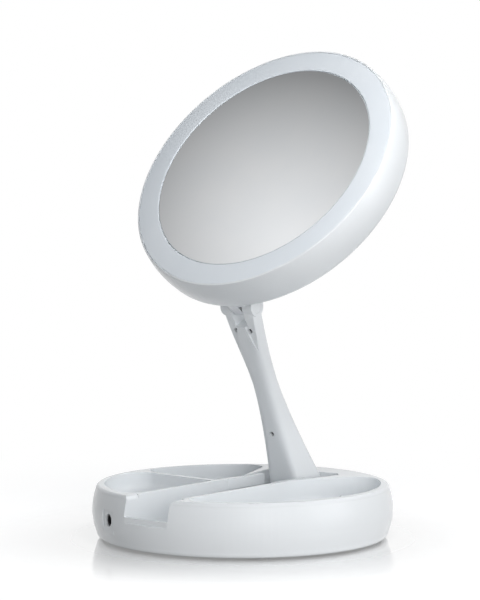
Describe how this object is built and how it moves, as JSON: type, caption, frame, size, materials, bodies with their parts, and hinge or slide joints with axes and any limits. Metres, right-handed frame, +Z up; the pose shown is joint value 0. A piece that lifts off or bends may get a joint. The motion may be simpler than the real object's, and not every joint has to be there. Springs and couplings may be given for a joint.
{
  "type": "lighted makeup mirror",
  "caption": "Folding lighted makeup mirror: round light-ringed head on a hinged arm that folds into the channel of a round tray base with compartments.",
  "frame": {"origin": "centre of the round base, on the table surface that the rubber feet stand on", "axes": "+Z up; the user sits at -Y, where the notch in the rim is; +X is the user's right-hand side"},
  "size_m": [0.215, 0.215, 0.3493],
  "materials": {
    "white_shell": "glossy white moulded plastic",
    "diffuser": "milky translucent diffuser",
    "mirror": "silvered glass",
    "led": "phosphor coated chips",
    "lamp_board": "white solder mask",
    "circuit_board": "green solder mask",
    "black_plastic": "moulded black",
    "wire": "insulated wire",
    "steel": "zinc plated",
    "hinge_metal": "satin die casting",
    "bronze": "sintered bush",
    "rubber": "soft matt rubber",
    "cell_jacket": "plain shrink jacket, unmarked"
  },
  "bodies": {
    "base": {"base_tray": "white_shell", "base_cover": "white_shell", "cover_screws": "steel", "rubber_feet": "rubber", "battery_cells": "cell_jacket", "battery_contacts": "steel", "jack_plate": "white_shell", "dc_jack": "black_plastic", "jack_pin": "steel", "driver_board": "circuit_board", "board_parts": "black_plastic", "board_screws": "steel", "tact_switch": "black_plastic", "base_wire": "wire", "hinge_blocks": "hinge_metal", "hinge_block_screws": "steel", "hinge_pin": "steel", "hinge_nut": "steel", "friction_washers": "steel"},
    "battery_door": {"battery_door": "white_shell"},
    "power_button": {"power_button": "white_shell"},
    "arm": {"arm_front_shell": "white_shell", "arm_rear_cover": "white_shell", "arm_screws": "steel", "hinge_bush": "bronze", "arm_wire": "wire", "pin_caps": "white_shell"},
    "tilt_axle": {"tilt_pin": "steel", "tilt_washers": "steel"},
    "head": {"tilt_knuckle": "hinge_metal", "knuckle_screws": "steel", "head_shell": "white_shell", "light_ring": "diffuser", "mirror_glass": "mirror", "mirror_carrier": "white_shell", "carrier_screws": "steel", "led_board": "lamp_board", "led_chips": "led", "head_wire": "wire", "rest_pads": "rubber"}
  },
  "joints": [
    {"name": "arm_fold", "type": "hinge", "parent": "base", "child": "arm", "pos_m": [0, 0.0678, 0.018], "axis": [1, 0, 0], "range_deg": [0, 60.61]},
    {"name": "head_fold", "type": "hinge", "parent": "arm", "child": "tilt_axle", "pos_m": [0, -0.00105, 0.16497], "axis": [1, 0, 0], "range_deg": [-84.31, 0]},
    {"name": "head_tilt", "type": "hinge", "parent": "tilt_axle", "child": "head", "pos_m": [0, -0.00105, 0.16497], "axis": [1, 0, 0], "range_deg": [-30, 40]},
    {"name": "button_press", "type": "slide", "parent": "base", "child": "power_button", "axis": [0.9397, -0.342, 0], "range_m": [0, 0.001], "stiffness_N_per_m": 1500},
    {"name": "battery_door_swing", "type": "hinge", "parent": "base", "child": "battery_door", "pos_m": [0.0314, -0.005, 0.0024], "axis": [0, 1, 0], "range_deg": [0, 75]}
  ],
  "couplings": [
    {"joint": "head_fold", "follows": "arm_fold", "ratio": -1.3828}
  ]
}
